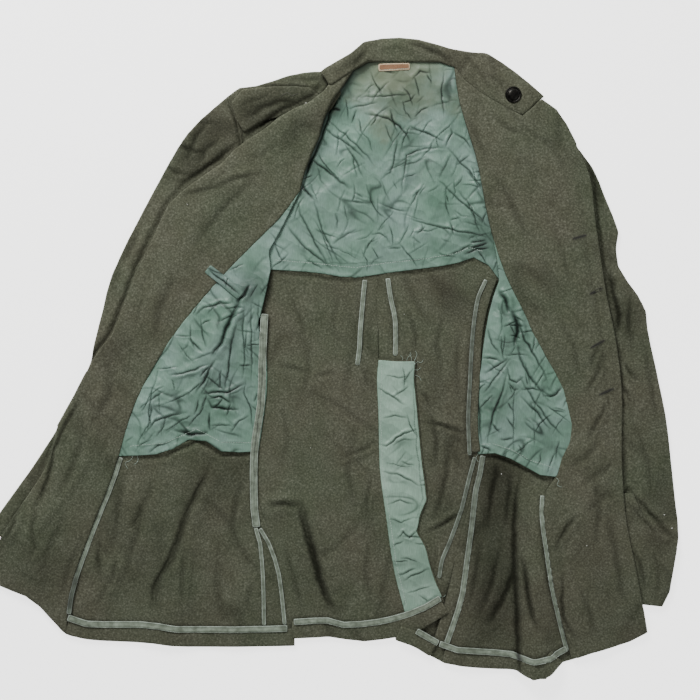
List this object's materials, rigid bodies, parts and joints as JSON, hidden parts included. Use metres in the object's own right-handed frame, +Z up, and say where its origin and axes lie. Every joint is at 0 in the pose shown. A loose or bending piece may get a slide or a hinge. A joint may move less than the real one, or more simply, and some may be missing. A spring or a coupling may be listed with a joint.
{
  "type": "military dress jacket laid open",
  "caption": "Wool dress jacket lying open and inside up, with both fronts turned out over the sleeves, half lined in satin, with bound seams.",
  "frame": {"origin": "middle of the footprint, on the surface that the jacket lies on", "axes": "+X across the opened jacket, +Y from the hem to the collar, +Z up off the surface, through the inside of the jacket"},
  "size_m": [0.9304, 0.8606, 0.0274],
  "materials": {
    "wool_melton": "napped melton wool, olive brown, heathered",
    "lining_satin": "grey-green satin lining with a soft sheen",
    "vent_satin": "paler grey-green satin facing",
    "seam_binding": "ribbed rayon seam tape",
    "label_cloth": "plain woven tape",
    "blackened_metal": "blackened, semi-gloss"
  },
  "bodies": {
    "root": {"sleeve_left_under": "wool_melton", "sleeve_right_under": "wool_melton", "sleeve_left_upper": "wool_melton", "sleeve_right_upper": "wool_melton", "cuff_right": "wool_melton", "back_right": "wool_melton", "back_left": "wool_melton", "lining_back": "lining_satin", "front_left_shoulder": "wool_melton", "shoulder_strap_left": "wool_melton", "lapel_left_turned": "wool_melton", "front_left": "wool_melton", "front_right": "wool_melton", "lining_front_left": "lining_satin", "lining_front_right": "lining_satin", "facing_left": "wool_melton", "facing_right": "wool_melton", "collar": "wool_melton", "vent_facing": "vent_satin", "hem_front_left": "wool_melton", "hem_back_left": "wool_melton", "hem_back_right": "wool_melton", "hem_front_right": "wool_melton", "tape_side_left": "seam_binding", "tape_side_left_front": "seam_binding", "tape_side_left_back": "seam_binding", "tape_centre_left": "seam_binding", "tape_centre_right": "seam_binding", "allowance_side_right": "wool_melton", "tape_side_right_upper": "seam_binding", "tape_side_right_front": "seam_binding", "tape_side_right_back": "seam_binding", "tape_facing_left": "seam_binding", "tape_facing_right": "seam_binding", "tape_hem_front_left": "seam_binding", "tape_hem_back_left": "seam_binding", "tape_hem_back_right": "seam_binding", "tape_hem_front_right": "seam_binding", "loop_tab": "lining_satin", "neck_label": "label_cloth", "collar_stud": "blackened_metal"}
  },
  "joints": []
}
